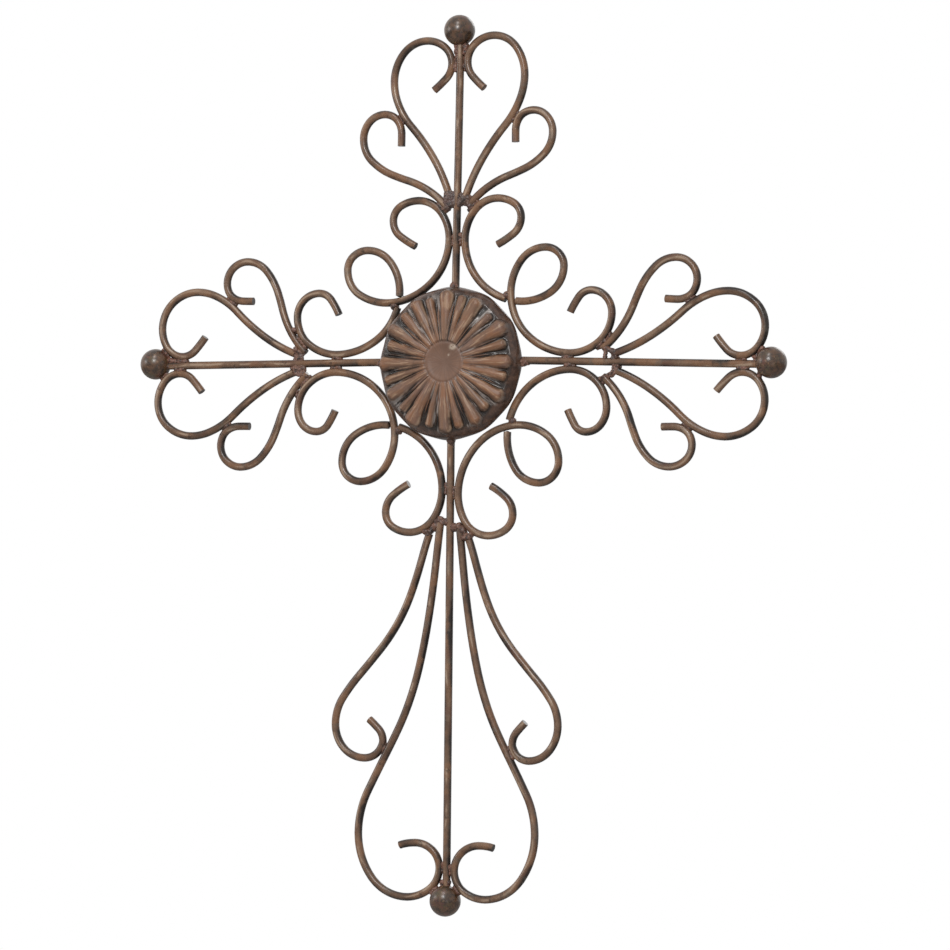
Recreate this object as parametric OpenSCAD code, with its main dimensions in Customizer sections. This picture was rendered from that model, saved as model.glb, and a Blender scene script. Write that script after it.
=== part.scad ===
// Wall cross of bent round iron bar: four rods with a ball on each end, scrolls welded
// along them and in the corners between them, and a pressed sheet rosette over the middle.
// Millimetres. +Z is up, the front faces -Y, and the origin is the middle of the
// hanging hole in the tab behind the rosette.

/* [Bar and balls] */
// Diameter of the round bar that every rod and scroll is made of
bar_d = 5; // [4:0.1:6.5]
// Diameter of the four end balls
ball_d = 20; // [16:0.5:26]
// Gap left between pieces where the weld joins them
weld_gap = 0.2; // [0.1:0.05:0.3]

/* [Reach of the arms] */
// Middle of the cross to the centre of the top ball
top_reach = 212; // [170:1:260]
// Middle of the cross to the centre of the left ball
left_reach = 212; // [170:1:260]
// Middle of the cross to the centre of the right ball
right_reach = 219.5; // [175:0.5:265]
// Middle of the cross to the centre of the foot ball
foot_reach = 346; // [285:1:420]

/* [Hand-made setting] */
// How far the right half of the crossbar droops, in degrees
right_droop = 1.7; // [0:0.1:3]
// How far the lower rod leans out to the right, in degrees
foot_lean = 0.7; // [0:0.1:2]
// How far the upper rod stands to the right of the lower rod
upright_step = 1.6; // [0:0.1:3]
// How far the left rod lies below the right rod where they meet
crossbar_step = 1.2; // [0:0.1:2]

/* [Rosette] */
// Outer diameter of the rosette
rosette_d = 99; // [80:1:120]
// Height of the petals' crown above the rim
rosette_h = 13; // [9:0.5:18]
// Diameter of the smooth button in the middle
button_d = 23; // [18:0.5:30]
// Thickness of the pressed sheet
sheet_t = 1; // [0.8:0.1:1.5]
// Number of long petals, each followed by a short one
petal_pairs = 12; // [9:1:14]
// Rim to the tip of a long petal
long_petal_inset = 3.5; // [3:0.5:6]
// Rim to the tip of a short petal
short_petal_inset = 7; // [6:0.5:10]
// How far the rosette hangs below the crossbar's axis
rosette_drop = 2.8; // [0:0.1:4]

/* [Hanging tab] */
// Diameter of the hanging hole
hole_d = 6; // [4:0.5:8]
// Height of the hanging hole above the crossbar's axis
hole_height = 24; // [20:1:30]
// Width of the tab
tab_w = 16; // [12:1:20]
// Thickness of the tab
tab_t = 2; // [1.5:0.5:3]
// How far the tab's plate stands behind the bars, for the nail head
tab_standoff = 4; // [3:0.5:6]

/* [Hidden] */

bar_r = bar_d / 2;
ball_r = ball_d / 2;
// Distance between the axes of two bars that are welded side by side
side_by_side = bar_d + weld_gap;

IRON = [0.36, 0.25, 0.20];
WORN_IRON = [0.42, 0.31, 0.24];

// ---- Bent bar -----------------------------------------------------------------
// A bar's route is a list of knots [x, y, heading]: a point of the wall plane, and the
// direction of the bar there in degrees. Two arcs that share a tangent join each knot to
// the next.

// How far the ball that joins two arcs stands proud of the bar, and how far each arc
// stops short of its middle. Its poles lie on the bar's axis, inside the arcs
lap = 0.04;
// A turn smaller than this, in degrees, is made as straight bar
straight_turn = 1;

function unit(a) = [cos(a), sin(a)];
function bearing(v) = atan2(v.y, v.x);
function flat(p) = [p.x, p.y];
function wrap(a) = a - 360 * round(a / 360);

// Turn of the arc that leaves p at heading h and ends at q
function turn(p, h, q) = wrap(2 * (bearing(q - p) - h));

// The point where the two arcs between knots a and b meet
function biarc_joint(a, b) =
    let (
        chord = flat(b) - flat(a),
        t_a = unit(a[2]),
        t_b = unit(b[2]),
        along = chord * (t_a + t_b),
        open = 2 * (1 - t_a * t_b),
        arm = open < 0.0001
            ? chord * chord / (2 * along)
            : (sqrt(along * along + open * (chord * chord)) - along) / open
    )
    (flat(a) + flat(b) + arm * (t_a - t_b)) / 2;

// The two arcs between knots a and b, each as [start, heading, end]
function biarc(a, b) =
    let (m = biarc_joint(a, b))
    [[flat(a), a[2], m], [m, a[2] + turn(flat(a), a[2], m), flat(b)]];

function route(knots) = [for (i = [0 : len(knots) - 2]) each biarc(knots[i], knots[i + 1])];

// Radius of the first arc between knots a and b
function first_radius(a, b) =
    let (m = biarc_joint(a, b))
    norm(m - flat(a)) / (2 * sin(turn(flat(a), a[2], m) / 2));

// The point at a share of the way along an arc
function arc_point(arc, share) =
    let (
        bend = turn(arc[0], arc[1], arc[2]),
        chord = arc[2] - arc[0]
    )
    abs(bend) < straight_turn
        ? arc[0] + share * chord
        : arc[0] + norm(chord) * sin(bend * share / 2) / sin(bend / 2)
            * unit(arc[1] + bend * share / 2);

// Points along an arc, for measuring clearances
function arc_points(arc, n) = [for (i = [0 : n]) arc_point(arc, i / n)];

function route_points(knots, n) = [for (arc = route(knots)) each arc_points(arc, n)];

// Smallest distance between two sets of points
function nearest(a, b) = min([for (p = a) min([for (q = b) norm(p - q)])]);

module bar_arc(arc, trim_start, trim_end) {
    bend = turn(arc[0], arc[1], arc[2]);
    chord = norm(arc[2] - arc[0]);
    translate([arc[0].x, arc[0].y, 0])
        rotate([0, 0, bearing(arc[2] - arc[0])])
            if (abs(bend) < straight_turn)
                translate([trim_start, 0, 0])
                    rotate([0, 90, 0])
                        cylinder(r = bar_r, h = chord - trim_start - trim_end, $fn = 48);
            else
                bar_bend(chord / (2 * sin(abs(bend) / 2)), bend, trim_start, trim_end);
}

// A bend of centre-line radius r that starts at the origin, half its turn off the x axis
module bar_bend(r, bend, trim_start, trim_end) {
    side = sign(bend);
    skip_start = trim_start / r * 180 / PI;
    skip_end = trim_end / r * 180 / PI;
    rotate([0, 0, -bend / 2])
        translate([0, side * r, 0])
            rotate([side > 0 ? 0 : 180, 0, 0])
                rotate([0, 0, skip_start - 90])
                    rotate_extrude(angle = abs(bend) - skip_start - skip_end, $fn = 180)
                        translate([r, 0])
                            circle(r = bar_r, $fn = 48);
}

module bent_bar(knots) {
    arcs = route(knots);
    last = len(arcs) - 1;
    for (i = [0 : last])
        bar_arc(arcs[i], i == 0 ? 0 : lap, i == last ? 0 : lap);
    for (i = [1 : last])
        translate([arcs[i][0].x, arcs[i][0].y, 0])
            rotate([0, 0, arcs[i][1]])
                rotate([0, 90, 0])
                    sphere(r = bar_r + lap, $fn = 48);
}

// ---- Arms ---------------------------------------------------------------------
// An arm is [start of its axis, direction, reach, how far its ball sits off the axis].
// Things on it are placed along the axis, and across it on side 1 (anticlockwise of the
// arm) or -1.

TOP = [[upright_step, 0], 90, top_reach, 1];
LEFT = [[0, -crossbar_step], 180, left_reach, -1.2];
RIGHT = [[0, 0], -right_droop, right_reach, 1.1];
FOOT = [[0, 0], -90 + foot_lean, foot_reach, -0.9];

function turned(v, a) = [v.x * cos(a) - v.y * sin(a), v.x * sin(a) + v.y * cos(a)];
function on_arm(arm, p) = arm[0] + turned(p, arm[1]);
function along_arm(arm, p) = (p - arm[0]) * unit(arm[1]);
function arm_knots(arm, side, knots) =
    [for (k = knots)
        let (p = on_arm(arm, [k[0], side * k[1]]))
        [p.x, p.y, arm[1] + side * k[2]]];

// ---- Corner scrolls -----------------------------------------------------------
// Each fills a corner of the cross: a curl beside the upright, a loop, and a curl beside
// the crossbar. Knots [x, y, heading] are measured from the line of its touch on the
// upright and the line of its touch on the crossbar.

CORNER = [
    [23.5, 71.5, 27],
    [39.5, 89, 90],
    [22, 102, 181],
    [0, 74.5, 272],
    [41, 34, -2],
    [71, 57, 91],
    [57.5, 69.5, 180],
    [34, 42, 268],
    [76, 0, -2],
    [105, 25, 90],
    [90.5, 40, 180],
    [76.5, 26, 245]];
// Knots at which a corner scroll touches the upright and the crossbar
UPRIGHT_TOUCH = 3;
BAR_TOUCH = 8;
// Knots beside the crossing: the loop's floor is joined to the upright's curl, and its
// wall to the crossbar's curl
LOOP_FLOOR = 4;
LOOP_WALL = 7;
// Stretch of each corner scroll, [along the crossbar, along the upright, and the further
// stretch of the curl beside the crossbar]
UPPER_LEFT_SET = [1.005, 0.965, 1.035];
UPPER_RIGHT_SET = [0.98, 0.975, 1.03];
LOWER_LEFT_SET = [1, 1.02, 0.935];
LOWER_RIGHT_SET = [0.975, 1.04, 0.96];
// Gap left for the welds of each corner scroll, [at the upright, at the crossbar]
UPPER_LEFT_WELDS = [weld_gap, 0.5];
UPPER_RIGHT_WELDS = [0.9, weld_gap];
LOWER_LEFT_WELDS = [0.9, 0.9];
LOWER_RIGHT_WELDS = [0.4, weld_gap];

// Where a corner scroll lies: in the corner between an upright arm and a bar arm, set
// beside both. The result is its knots in the wall plane.
function corner_knots(upright, bar, set, welds) =
    let (
        // Signs of the corner's two directions, and its turn to the mean of the arms
        sx = sign(cos(bar[1])),
        sy = sign(sin(upright[1])),
        tilt = (wrap(bar[1] - (sx > 0 ? 0 : 180)) + wrap(upright[1] - 90 * sy)) / 2,
        curl = CORNER[BAR_TOUCH],
        local = [for (i = [0 : len(CORNER) - 1])
            let (
                k = CORNER[i],
                size = i > BAR_TOUCH ? set[2] : 1
            )
            [sx * set[0] * (curl[0] + size * (k[0] - curl[0])),
                sy * set[1] * (curl[1] + size * (k[1] - curl[1])),
                bearing([sx * cos(k[2]), sy * sin(k[2])])]],
        // Normals of the two arms, pointing into the corner
        n_up = sx * sy * unit(upright[1] - 90),
        n_bar = sx * sy * unit(bar[1] + 90),
        // Shift that puts each touch beside its arm's axis
        a = upright[0] * n_up + bar_d + welds[0] - turned(local[UPRIGHT_TOUCH], tilt) * n_up,
        b = bar[0] * n_bar + bar_d + welds[1] - turned(local[BAR_TOUCH], tilt) * n_bar,
        det = cross(n_up, n_bar),
        shift = [(a * n_bar.y - b * n_up.y) / det, (b * n_up.x - a * n_bar.x) / det]
    )
    [for (k = local)
        let (p = shift + turned(k, tilt))
        [p.x, p.y, k[2] + tilt]];

UPPER_LEFT = corner_knots(TOP, LEFT, UPPER_LEFT_SET, UPPER_LEFT_WELDS);
UPPER_RIGHT = corner_knots(TOP, RIGHT, UPPER_RIGHT_SET, UPPER_RIGHT_WELDS);
LOWER_LEFT = corner_knots(FOOT, LEFT, LOWER_LEFT_SET, LOWER_LEFT_WELDS);
LOWER_RIGHT = corner_knots(FOOT, RIGHT, LOWER_RIGHT_SET, LOWER_RIGHT_WELDS);

function backwards(knots) =
    [for (i = [len(knots) - 1 : -1 : 0]) [knots[i].x, knots[i].y, knots[i][2] + 180]];

// A corner scroll is two bars. The loop is one bar with the curl that runs through the
// crossing; it ends against its own side there. The hook has the other curl, and starts
// against the far side of the same leg.

// The knot at share t of the way from knot a to knot b
function part_way(a, b, t) =
    let (
        half = t < 0.5 ? 0 : 1,
        arc = biarc(a, b)[half],
        share = 2 * t - half,
        p = arc_point(arc, share)
    )
    [p.x, p.y, arc[1] + share * turn(arc[0], arc[1], arc[2])];

// Points taken on a leg where a clearance to it is measured, and tries along another leg
LEG_POINTS = 30;
LEG_TRIES = 40;

// Gap between a leg, given by its points, and the cut end of a bar at a knot
function end_gap(knot, leg_points) =
    let (half_end = bar_r * unit(knot[2] + 90))
    nearest([flat(knot) - half_end, flat(knot), flat(knot) + half_end], leg_points) - bar_r;

// Share of the way from knot a to knot b at which a cut end comes up to the other leg
function meeting(a, b, leg_points) =
    let (
        gaps = [for (i = [0 : LEG_TRIES]) end_gap(part_way(a, b, i / LEG_TRIES), leg_points)],
        crossing = search(min(gaps), gaps)[0] / LEG_TRIES,
        clears = function(t) end_gap(part_way(a, b, t), leg_points) >= weld_gap
    )
    largest(clears, 0, crossing);

// The loop and the hook of a corner scroll whose knots run towards the cut leg
function loop_of(knots) =
    let (
        floor_leg = route_points([knots[UPRIGHT_TOUCH], knots[LOOP_FLOOR]], LEG_POINTS),
        t = meeting(knots[LOOP_WALL], knots[BAR_TOUCH], floor_leg)
    )
    [for (i = [0 : LOOP_WALL]) knots[i], part_way(knots[LOOP_WALL], knots[BAR_TOUCH], t)];

function hook_of(knots) =
    let (
        floor_leg = route_points([knots[UPRIGHT_TOUCH], knots[LOOP_FLOOR]], LEG_POINTS),
        back = backwards(knots),
        from = back[len(back) - 1 - BAR_TOUCH],
        to = back[len(back) - 1 - LOOP_WALL]
    )
    [for (i = [0 : len(back) - 1 - BAR_TOUCH]) back[i],
        part_way(from, to, meeting(from, to, floor_leg))];

// The curls of a corner scroll that the pieces of an upright arm or a bar arm meet
function upright_curl(corner) = [for (i = [1 : UPRIGHT_TOUCH]) corner[i]];
function bar_curl(corner) = [for (i = [BAR_TOUCH : BAR_TOUCH + 2]) corner[i]];

// ---- Scrolls and sprigs of the arms ---------------------------------------------
// Knots [along, across, heading] of a scroll, measured from its touch on the rod
SCROLL = [
    [-17, 12, 309],
    [0, 0, 0],
    [16, 18, 90],
    [-10, 40.5, 180],
    [-34.5, 32.5, 213.5],
    [-41.5, 27, 222],
    [-85.5, 0.5, 199]];
FOOT_SCROLL = [
    [-14.5, 27.5, 252],
    [-16, 17, 270],
    [0, 0, 0],
    [18.5, 22, 90],
    [-22.5, 56.5, 180],
    [-74, 37, 208.5],
    [-104.5, 22.5, 200.5],
    [-151, 10.5, 190],
    [-221, 1.5, 186]];
// Knots of a sprig, measured from its touch on the scroll beside it
SPRIG = [
    [-15.5, -2.5, 0],
    [0, 0, 32],
    [5, 9.5, 90],
    [-10, 23, 180],
    [-34, 2.5, 249],
    [-37.5, -7.5, 253],
    [-56, -36, 221]];
FOOT_SPRIG = [
    [-18, 7.5, 312],
    [-4.5, -1.5, 0],
    [0, 0, 28.5],
    [6, 10.5, 90],
    [-15.5, 30.5, 180],
    [-46, 14, 223.5],
    [-80, -13.5, 210],
    [-109.5, -26, 198],
    [-135, -34.5, 202]];
// Knots at which a scroll touches its rod, and its sprig touches it
ROD_TOUCH = 1;
FOOT_ROD_TOUCH = 2;
SPRIG_TOUCH = 4;
FOOT_SPRIG_TOUCH = 5;

// Distance along the arm from a scroll's touch on the rod to the ball that nests
// against its curl, for a ball that sits off the axis towards the scroll
function nest(curl_r, off) =
    sqrt(pow(curl_r + bar_r + ball_r + weld_gap, 2) - pow(side_by_side + curl_r - off, 2));

// A shape at size k, with its distances across the arm stretched by spread
function stretched(shape, k, spread) =
    [for (p = shape) [k * p[0], k * spread * p[1], bearing([cos(p[2]), spread * sin(p[2])])]];

// A scroll at size k on an arm, set by [slip short of the ball, lead, spread, gap at the rod]
function scroll_knots(arm, side, shape, touch, k, set) =
    let (
        drawn = stretched(shape, k, set[2]),
        start = arm[2] - nest(first_radius(drawn[touch], drawn[touch + 1]), side * arm[3]) - set[0]
    )
    arm_knots(arm, side, [for (p = drawn) [start + p[0], bar_d + set[3] + p[1], p[2]]]);

// A sprig of given size and spread, with its touch on its scroll at a point
function sprig_knots(arm, side, shape, k, spread, touch) =
    [for (p = stretched(shape, k, spread))
        let (q = touch + turned([p[0], side * p[1]], arm[1]))
        [q.x, q.y, arm[1] + side * p[2]]];

// A bar turned about a point
function leant(knots, about, angle) =
    [for (k = knots)
        let (p = about + turned(flat(k) - about, angle))
        [p.x, p.y, k[2] + angle]];

// Smallest and largest size, as a share of the drawn one, that a scroll is fitted within
FIT_RANGE = [0.5, 1.8];
// Range of a sprig's lean, in degrees
LEAN_RANGE = [-8, 14];
FIT_STEPS = 16;
// Points taken on each arc where a clearance is measured
FIT_POINTS = 9;

// The largest k at which fits(k) holds
function largest(fits, lo = FIT_RANGE[0], hi = FIT_RANGE[1], steps = FIT_STEPS) =
    steps == 0 ? lo
    : fits((lo + hi) / 2) ? largest(fits, (lo + hi) / 2, hi, steps - 1)
    : largest(fits, lo, (lo + hi) / 2, steps - 1);

// Last knots of a route, which run in towards the rosette
function tail(knots) = [for (i = [len(knots) - 3 : len(knots) - 1]) knots[i]];

// A scroll whose tail ends the distance lead beyond the corner scroll's curl
function fitted_scroll(arm, side, curl, set) =
    let (
        limit = set[1] + max([for (p = route_points(curl, FIT_POINTS)) along_arm(arm, p)]),
        knots = function(k) scroll_knots(arm, side, SCROLL, ROD_TOUCH, k, set),
        fits = function(k) along_arm(arm, flat(knots(k)[len(SCROLL) - 1])) >= limit
    )
    knots(largest(fits));

// A foot scroll whose tail touches the corner scroll's curl
function fitted_foot_scroll(arm, side, curl, set) =
    let (
        curl_points = route_points(curl, 2 * FIT_POINTS),
        knots = function(k) scroll_knots(arm, side, FOOT_SCROLL, FOOT_ROD_TOUCH, k, set),
        fits = function(k)
            nearest(tail_points(knots(k)), curl_points) >= side_by_side
    )
    knots(largest(fits));

// Size of a scroll, as a share of the drawn one, from its reach along the arm
function size_of(arm, knots, shape) =
    (along_arm(arm, flat(knots[1])) - along_arm(arm, flat(knots[len(knots) - 1])))
        / (shape[1][0] - shape[len(shape) - 1][0]);

// Points along an arm's rod, and along the tail of a scroll or sprig, that ends keep clear of
ROD_STEP = 1;
function rod_points(arm) = [for (x = [0 : ROD_STEP : arm[2]]) on_arm(arm, [x, 0])];
function tail_points(knots) = route_points(tail(knots), 2 * FIT_POINTS);

// A bar cut back at its end until that is clear of the bars that run through the points
function cut_back(knots, points) =
    let (
        n = len(knots),
        end = function(t) part_way(knots[n - 2], knots[n - 1], t),
        clears = function(t) nearest([flat(end(t))], points) >= side_by_side
    )
    clears(1) ? knots
    : clears(0) ? [for (i = [0 : n - 2]) knots[i], end(largest(clears, 0, 1))]
    : cut_back([for (i = [0 : n - 2]) knots[i]], points);

// A sprig set by [share of its scroll's size, spread], leant about its touch until its
// tail comes up to the corner scroll's curl. Cut back clear of its own scroll and rod, it
// is leant again
function fitted_sprig(arm, side, scroll, curl, set, foot = false) =
    let (
        host = scroll[foot ? FOOT_SPRIG_TOUCH : SPRIG_TOUCH],
        touch = flat(host) + side_by_side * unit(host[2] - side * 90),
        k = set[0] * size_of(arm, scroll, foot ? FOOT_SCROLL : SCROLL),
        drawn = sprig_knots(arm, side, foot ? FOOT_SPRIG : SPRIG, k, set[1], touch),
        curl_points = route_points(curl, 2 * FIT_POINTS),
        leaning = function(knots)
            let (
                fits = function(lean)
                    nearest(tail_points(leant(knots, touch, -side * lean)), curl_points) >= side_by_side
            )
            leant(knots, touch, -side * largest(fits, LEAN_RANGE[0], LEAN_RANGE[1]))
    )
    leaning(cut_back(leaning(drawn), [each tail_points(scroll), each rod_points(arm)]));

// How each scroll was set by hand: [how far it stops short of its ball, how far its tail
// ends beyond the corner scroll's curl, its spread across the arm, gap at the rod]
TOP_LEFT_SET = [1.9, 4.5, 1.025, 0.9];
TOP_RIGHT_SET = [2.3, 1.5, 0.97, weld_gap];
LEFT_UPPER_SET = [0, 1, 1.09, 0.9];
LEFT_LOWER_SET = [0.5, 3.5, 1.045, weld_gap];
RIGHT_UPPER_SET = [1.1, 4, 1.015, weld_gap];
RIGHT_LOWER_SET = [1.5, 6, 1.01, weld_gap];
// The foot scrolls' tails run in beside the curl, so theirs have no lead
FOOT_LEFT_SET = [0.4, 0, 1.01, weld_gap];
FOOT_RIGHT_SET = [0.7, 0, 0.995, weld_gap];
// The sprigs: [share of the host scroll's size, spread across the arm]
TOP_LEFT_SPRIG = [1.035, 1.055];
TOP_RIGHT_SPRIG = [0.94, 1.06];
LEFT_UPPER_SPRIG = [0.995, 1.07];
LEFT_LOWER_SPRIG = [1.015, 1.065];
RIGHT_UPPER_SPRIG = [0.985, 1.07];
RIGHT_LOWER_SPRIG = [0.995, 1.005];
FOOT_LEFT_SPRIG = [1.025, 1.02];
FOOT_RIGHT_SPRIG = [1.025, 0.965];

// Each scroll curls over its corner scroll; side 1 is anticlockwise of the arm
TOP_SCROLL_L = fitted_scroll(TOP, 1, upright_curl(UPPER_LEFT), TOP_LEFT_SET);
TOP_SCROLL_R = fitted_scroll(TOP, -1, upright_curl(UPPER_RIGHT), TOP_RIGHT_SET);
LEFT_SCROLL_U = fitted_scroll(LEFT, -1, bar_curl(UPPER_LEFT), LEFT_UPPER_SET);
LEFT_SCROLL_L = fitted_scroll(LEFT, 1, bar_curl(LOWER_LEFT), LEFT_LOWER_SET);
RIGHT_SCROLL_U = fitted_scroll(RIGHT, 1, bar_curl(UPPER_RIGHT), RIGHT_UPPER_SET);
RIGHT_SCROLL_L = fitted_scroll(RIGHT, -1, bar_curl(LOWER_RIGHT), RIGHT_LOWER_SET);
FOOT_SCROLL_L = fitted_foot_scroll(FOOT, -1, upright_curl(LOWER_LEFT), FOOT_LEFT_SET);
FOOT_SCROLL_R = fitted_foot_scroll(FOOT, 1, upright_curl(LOWER_RIGHT), FOOT_RIGHT_SET);

TOP_SPRIG_L = fitted_sprig(TOP, 1, TOP_SCROLL_L, upright_curl(UPPER_LEFT), TOP_LEFT_SPRIG);
TOP_SPRIG_R = fitted_sprig(TOP, -1, TOP_SCROLL_R, upright_curl(UPPER_RIGHT), TOP_RIGHT_SPRIG);
LEFT_SPRIG_U = fitted_sprig(LEFT, -1, LEFT_SCROLL_U, bar_curl(UPPER_LEFT), LEFT_UPPER_SPRIG);
LEFT_SPRIG_L = fitted_sprig(LEFT, 1, LEFT_SCROLL_L, bar_curl(LOWER_LEFT), LEFT_LOWER_SPRIG);
RIGHT_SPRIG_U = fitted_sprig(RIGHT, 1, RIGHT_SCROLL_U, bar_curl(UPPER_RIGHT), RIGHT_UPPER_SPRIG);
RIGHT_SPRIG_L = fitted_sprig(RIGHT, -1, RIGHT_SCROLL_L, bar_curl(LOWER_RIGHT), RIGHT_LOWER_SPRIG);
FOOT_SPRIG_L = fitted_sprig(FOOT, -1, FOOT_SCROLL_L, upright_curl(LOWER_LEFT), FOOT_LEFT_SPRIG, true);
FOOT_SPRIG_R = fitted_sprig(FOOT, 1, FOOT_SCROLL_R, upright_curl(LOWER_RIGHT), FOOT_RIGHT_SPRIG, true);

// ---- Frame of the whole cross ---------------------------------------------------
bar_back = bar_r + weld_gap;
hole_depth = bar_back + tab_standoff + tab_t / 2;

// Turns the wall plane upright and puts the hanging hole at the origin
module hung()
    translate([0, -hole_depth, -hole_height])
        rotate([90, 0, 0])
            children();

module scroll(knots)
    color(IRON)
        hung()
            bent_bar(knots);

// A scroll of an arm, with its end clear of its sprig's tail
module arm_scroll(knots, sprig)
    scroll(cut_back(knots, tail_points(sprig)));

// ---- Rods and balls -------------------------------------------------------------
// How deep a rod's end sits in its ball
ball_seat = 1.5;

// The straight bar along an arm, from a distance from its start to its seat in the ball
module arm_rod(arm, from)
    translate([arm[0].x, arm[0].y, 0])
        rotate([0, 0, arm[1]])
            translate([from, 0, 0])
                rotate([0, 90, 0])
                    cylinder(r = bar_r, h = arm[2] - ball_r + ball_seat - from, $fn = 48);

// How far short of the arms' crossing the rods start: the crossbar's two meet end to end
// there, and the upright's stand on them
meet = weld_gap / 2;
stand = bar_back + crossbar_step;

module rod(arm, from)
    color(IRON)
        hung()
            arm_rod(arm, from);

module end_ball(arm)
    color(WORN_IRON)
        hung()
            translate(on_arm(arm, [arm[2], arm[3]]))
                difference() {
                    sphere(d = ball_d, $fn = 64);
                    rotate([0, 0, arm[1]])
                        translate([-2 * ball_r, -arm[3], 0])
                            rotate([0, 90, 0])
                                cylinder(
                                    r = bar_r + weld_gap / 2,
                                    h = ball_r + ball_seat + weld_gap,
                                    $fn = 48);
                }

// ---- Rosette --------------------------------------------------------------------
rim_r = rosette_d / 2;
button_r = button_d / 2;
// Depth of the dish in the button, and the width of the ramp from button to petals
button_dish = 1;
petal_ramp = 2;
// Width of a petal's rounded tip, and how much further in it drops at the petal's sides
tip_ramp = 2.5;
// Height of the button's edge and of the grooves by it, as shares of the crown
groove_top = 0.9;
// Half widths of the petals, as shares of a pair's pitch
pair_pitch = 360 / petal_pairs;
long_half = 0.283 * pair_pitch;
short_half = 0.5 * pair_pitch - long_half;

// Places across one pair of petals, from the groove before the long petal, as [angle from
// the long petal's middle, share of the petal's half width, which petal]; 0 is the long one.
// The shoulders are where a petal's round top starts to fall steeply, as such a share
long_shoulder = 0.65;
short_shoulder = 0.62;
PETAL_STEPS = [
    for (s = [-1, -long_shoulder, 0, long_shoulder]) [s * long_half, s, 0],
    for (s = [-1, -short_shoulder, 0, short_shoulder]) [pair_pitch / 2 + s * short_half, s, 1]];

// How flat the dome stays before its skirt, and how steeply the skirt meets the wall plane
skirt_power = 4;
skirt_round = 0.7;
// Where along its run a petal stands highest, and how fast its crown falls off from there
crown_peak = 0.35;
crown_fall = 0.35;

function ramp(x, from, to) = let (t = min(max((x - from) / (to - from), 0), 1)) t * t * (3 - 2 * t);
function reach_share(r) = min(max((r - button_r) / (rim_r - button_r), 0), 1);
// Height of the grooves and the skirt, and of the petals' crowns, at radius r
function groove_z(r) = rosette_h * groove_top * pow(1 - pow(reach_share(r), skirt_power), skirt_round);
function crown_z(r) = rosette_h * (1 - crown_fall * pow(reach_share(r) - crown_peak, 2));
function tip_r(petal) = rim_r - (petal == 0 ? long_petal_inset : short_petal_inset);
function petal_z(r, s, petal) =
    let (
        round = sqrt(max(1 - s * s, 0)),
        shown = round * ramp(r, button_r, button_r + petal_ramp)
            * (1 - ramp(r, tip_r(petal) - tip_ramp, tip_r(petal)))
    )
    r < button_r
        ? groove_z(button_r) - button_dish * (1 - pow(r / button_r, 2))
        : groove_z(r) + shown * max(crown_z(r) - groove_z(r), 0);

petal_start = button_r + petal_ramp;
petal_run = tip_r(1) - tip_ramp - petal_start;
RING_R = [
    0.5 * button_r, button_r,
    petal_start, for (i = [1 : 3]) petal_start + petal_run * i / 3,
    tip_r(1), tip_r(0) - tip_ramp, tip_r(0) - tip_ramp / 2, tip_r(0),
    for (i = [1, 2]) tip_r(0) + long_petal_inset * i / 2];

module rosette() {
    columns = petal_pairs * len(PETAL_STEPS);
    rings = len(RING_R);
    steps = len(PETAL_STEPS);
    // The back is the front moved by the sheet's thickness along the dome's normal
    slope = [for (i = [0 : rings - 1])
        let (a = RING_R[max(i - 1, 0)], b = RING_R[min(i + 1, rings - 1)])
        atan2(groove_z(b) - groove_z(a), b - a)];
    function column_angle(j) = floor(j / steps) * pair_pitch + PETAL_STEPS[j % steps][0];
    function vertex(i, j, back) =
        let (
            place = PETAL_STEPS[j % steps],
            last = i == rings - 1,
            r = RING_R[i] + (!back ? 0 : last ? -sheet_t : sheet_t * sin(slope[i])),
            z = petal_z(RING_R[i], place[1], place[2]) - (!back || last ? 0 : sheet_t * cos(slope[i]))
        )
        [r * cos(column_angle(j)), r * sin(column_angle(j)), z];
    // Front rings, back rings, then the two middle points
    points = [
        for (back = [false, true]) for (i = [0 : rings - 1]) for (j = [0 : columns - 1]) vertex(i, j, back),
        [0, 0, petal_z(0, 0, 0)],
        [0, 0, petal_z(0, 0, 0) - sheet_t]];
    back_0 = rings * columns;
    middle = 2 * rings * columns;
    faces = [
        for (j = [0 : columns - 1])
            let (n = (j + 1) % columns)
            each [
                [middle, n, j],
                [middle + 1, back_0 + j, back_0 + n],
                for (i = [0 : rings - 2])
                    let (p = i * columns, q = p + columns)
                    each [
                        [p + j, p + n, q + n, q + j],
                        [back_0 + p + j, back_0 + q + j, back_0 + q + n, back_0 + p + n]],
                let (p = (rings - 1) * columns)
                [p + j, p + n, back_0 + p + n, back_0 + p + j]]];
    color(WORN_IRON)
        hung()
            translate([upright_step / 2, -rosette_drop, bar_back])
                polyhedron(points, faces);
}

// ---- Hanging tab ------------------------------------------------------------------
// How far the tab's foot reaches below the crossbar's axis, and where it steps back
tab_below = 9;
tab_step = hole_height - tab_w / 2 - tab_t;

module hanging_tab()
    color(IRON)
        hung()
            difference() {
                union() {
                    translate([-tab_w / 2, -tab_below, -bar_back - tab_t])
                        cube([tab_w, tab_below + tab_step, tab_t]);
                    translate([-tab_w / 2, tab_step - tab_t, -hole_depth - tab_t / 2])
                        cube([tab_w, tab_t, tab_standoff + tab_t]);
                    translate([-tab_w / 2, tab_step - tab_t, -hole_depth - tab_t / 2])
                        cube([tab_w, hole_height - tab_step + tab_t, tab_t]);
                    translate([0, hole_height, -hole_depth - tab_t / 2])
                        cylinder(d = tab_w, h = tab_t, $fn = 64);
                }
                translate([0, hole_height, -hole_depth - tab_t])
                    cylinder(d = hole_d, h = 2 * tab_t, $fn = 48);
            }

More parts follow.
